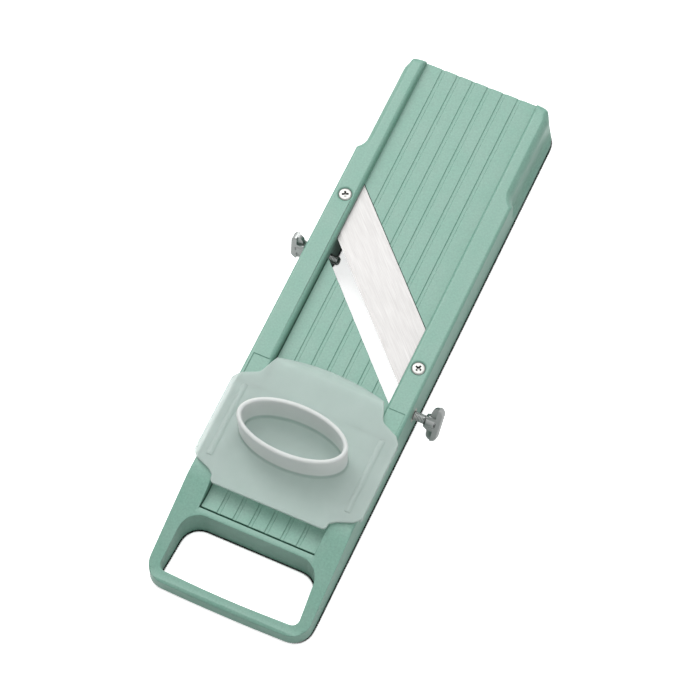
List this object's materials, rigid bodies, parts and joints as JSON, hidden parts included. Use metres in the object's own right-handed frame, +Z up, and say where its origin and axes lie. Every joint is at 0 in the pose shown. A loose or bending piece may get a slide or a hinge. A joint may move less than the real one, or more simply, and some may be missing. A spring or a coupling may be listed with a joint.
{
  "type": "mandoline slicer",
  "caption": "Hand mandoline slicer: ribbed plastic body with loop handle, slanted steel blade, hinged feed plate on a thumb screw, wing screws and a sliding oval-ring finger guard.",
  "frame": {"origin": "midway between the comb slots, on the body's centre line, at the height of its underside, where a comb is pushed in", "axes": "+Z up, +Y along the body away from the handle, +X to the right seen from the handle"},
  "size_m": [0.1169, 0.3337, 0.0483],
  "materials": {
    "body_plastic": "mint green ABS, finely grained",
    "guard_plastic": "milky translucent polypropylene, finely grained",
    "blade_steel": "stainless steel, ground across",
    "screw_steel": "stainless steel, satin",
    "steel": "zinc-plated steel",
    "side_screw_metal": "nickel-plated",
    "cast_metal": "nickel-plated zinc casting",
    "bush_brass": "turned brass"
  },
  "bodies": {
    "frame": {"frame": "body_plastic", "main_blade": "blade_steel", "blade_screw_left": "screw_steel", "blade_screw_right": "screw_steel", "blade_nut_left": "steel", "blade_nut_right": "steel", "side_nut_left": "bush_brass", "side_nut_right": "bush_brass", "bridge_strap": "steel", "bridge_screw_left": "steel", "bridge_screw_right": "steel", "adjuster_nut": "bush_brass", "hinge_pin": "steel"},
    "plate": {"feed_plate": "body_plastic"},
    "adjuster": {"adjuster_screw": "steel", "tip_clip": "steel"},
    "knob": {"adjuster_knob": "body_plastic"},
    "side_left": {"side_screw_left": "side_screw_metal"},
    "head_left": {"side_head_left": "cast_metal"},
    "side_right": {"side_screw_right": "side_screw_metal"},
    "head_right": {"side_head_right": "cast_metal"},
    "guard": {"finger_guard": "guard_plastic"}
  },
  "joints": [
    {"name": "adjuster_lift", "type": "slide", "parent": "frame", "child": "adjuster", "axis": [0, 0, 1], "range_m": [-0.00232, 0.00062]},
    {"name": "adjuster_turn", "type": "hinge", "parent": "adjuster", "child": "knob", "pos_m": [0, -0.05, 0.006], "axis": [0, 0, 1], "range_deg": [-828, 216]},
    {"name": "plate_tilt", "type": "hinge", "parent": "frame", "child": "plate", "pos_m": [0, -0.124, 0.01618], "axis": [1, 0, 0], "range_deg": [-1.8, 0.48]},
    {"name": "side_left_travel", "type": "slide", "parent": "frame", "child": "side_left", "axis": [-1, 0, 0], "range_m": [-0.00032, 0.00602]},
    {"name": "side_left_turn", "type": "hinge", "parent": "side_left", "child": "head_left", "pos_m": [-0.052, 0.033, 0.014], "axis": [-1, 0, 0], "range_deg": [-135, 2700]},
    {"name": "side_right_travel", "type": "slide", "parent": "frame", "child": "side_right", "axis": [1, 0, 0], "range_m": [-0.00122, 0.00402]},
    {"name": "side_right_turn", "type": "hinge", "parent": "side_right", "child": "head_right", "pos_m": [0.058, -0.033, 0.014], "axis": [1, 0, 0], "range_deg": [-540, 1800]},
    {"name": "guard_slide", "type": "slide", "parent": "frame", "child": "guard", "axis": [0, 1, 0], "range_m": [-0.01, 0.18]}
  ],
  "couplings": [
    {"joint": "adjuster_lift", "follows": "adjuster_turn", "m_per_rad": 0.00015915},
    {"joint": "plate_tilt", "follows": "adjuster_turn", "ratio": 0.0021507},
    {"joint": "side_left_travel", "follows": "side_left_turn", "m_per_rad": 0.00012732},
    {"joint": "side_right_travel", "follows": "side_right_turn", "m_per_rad": 0.00012732}
  ]
}
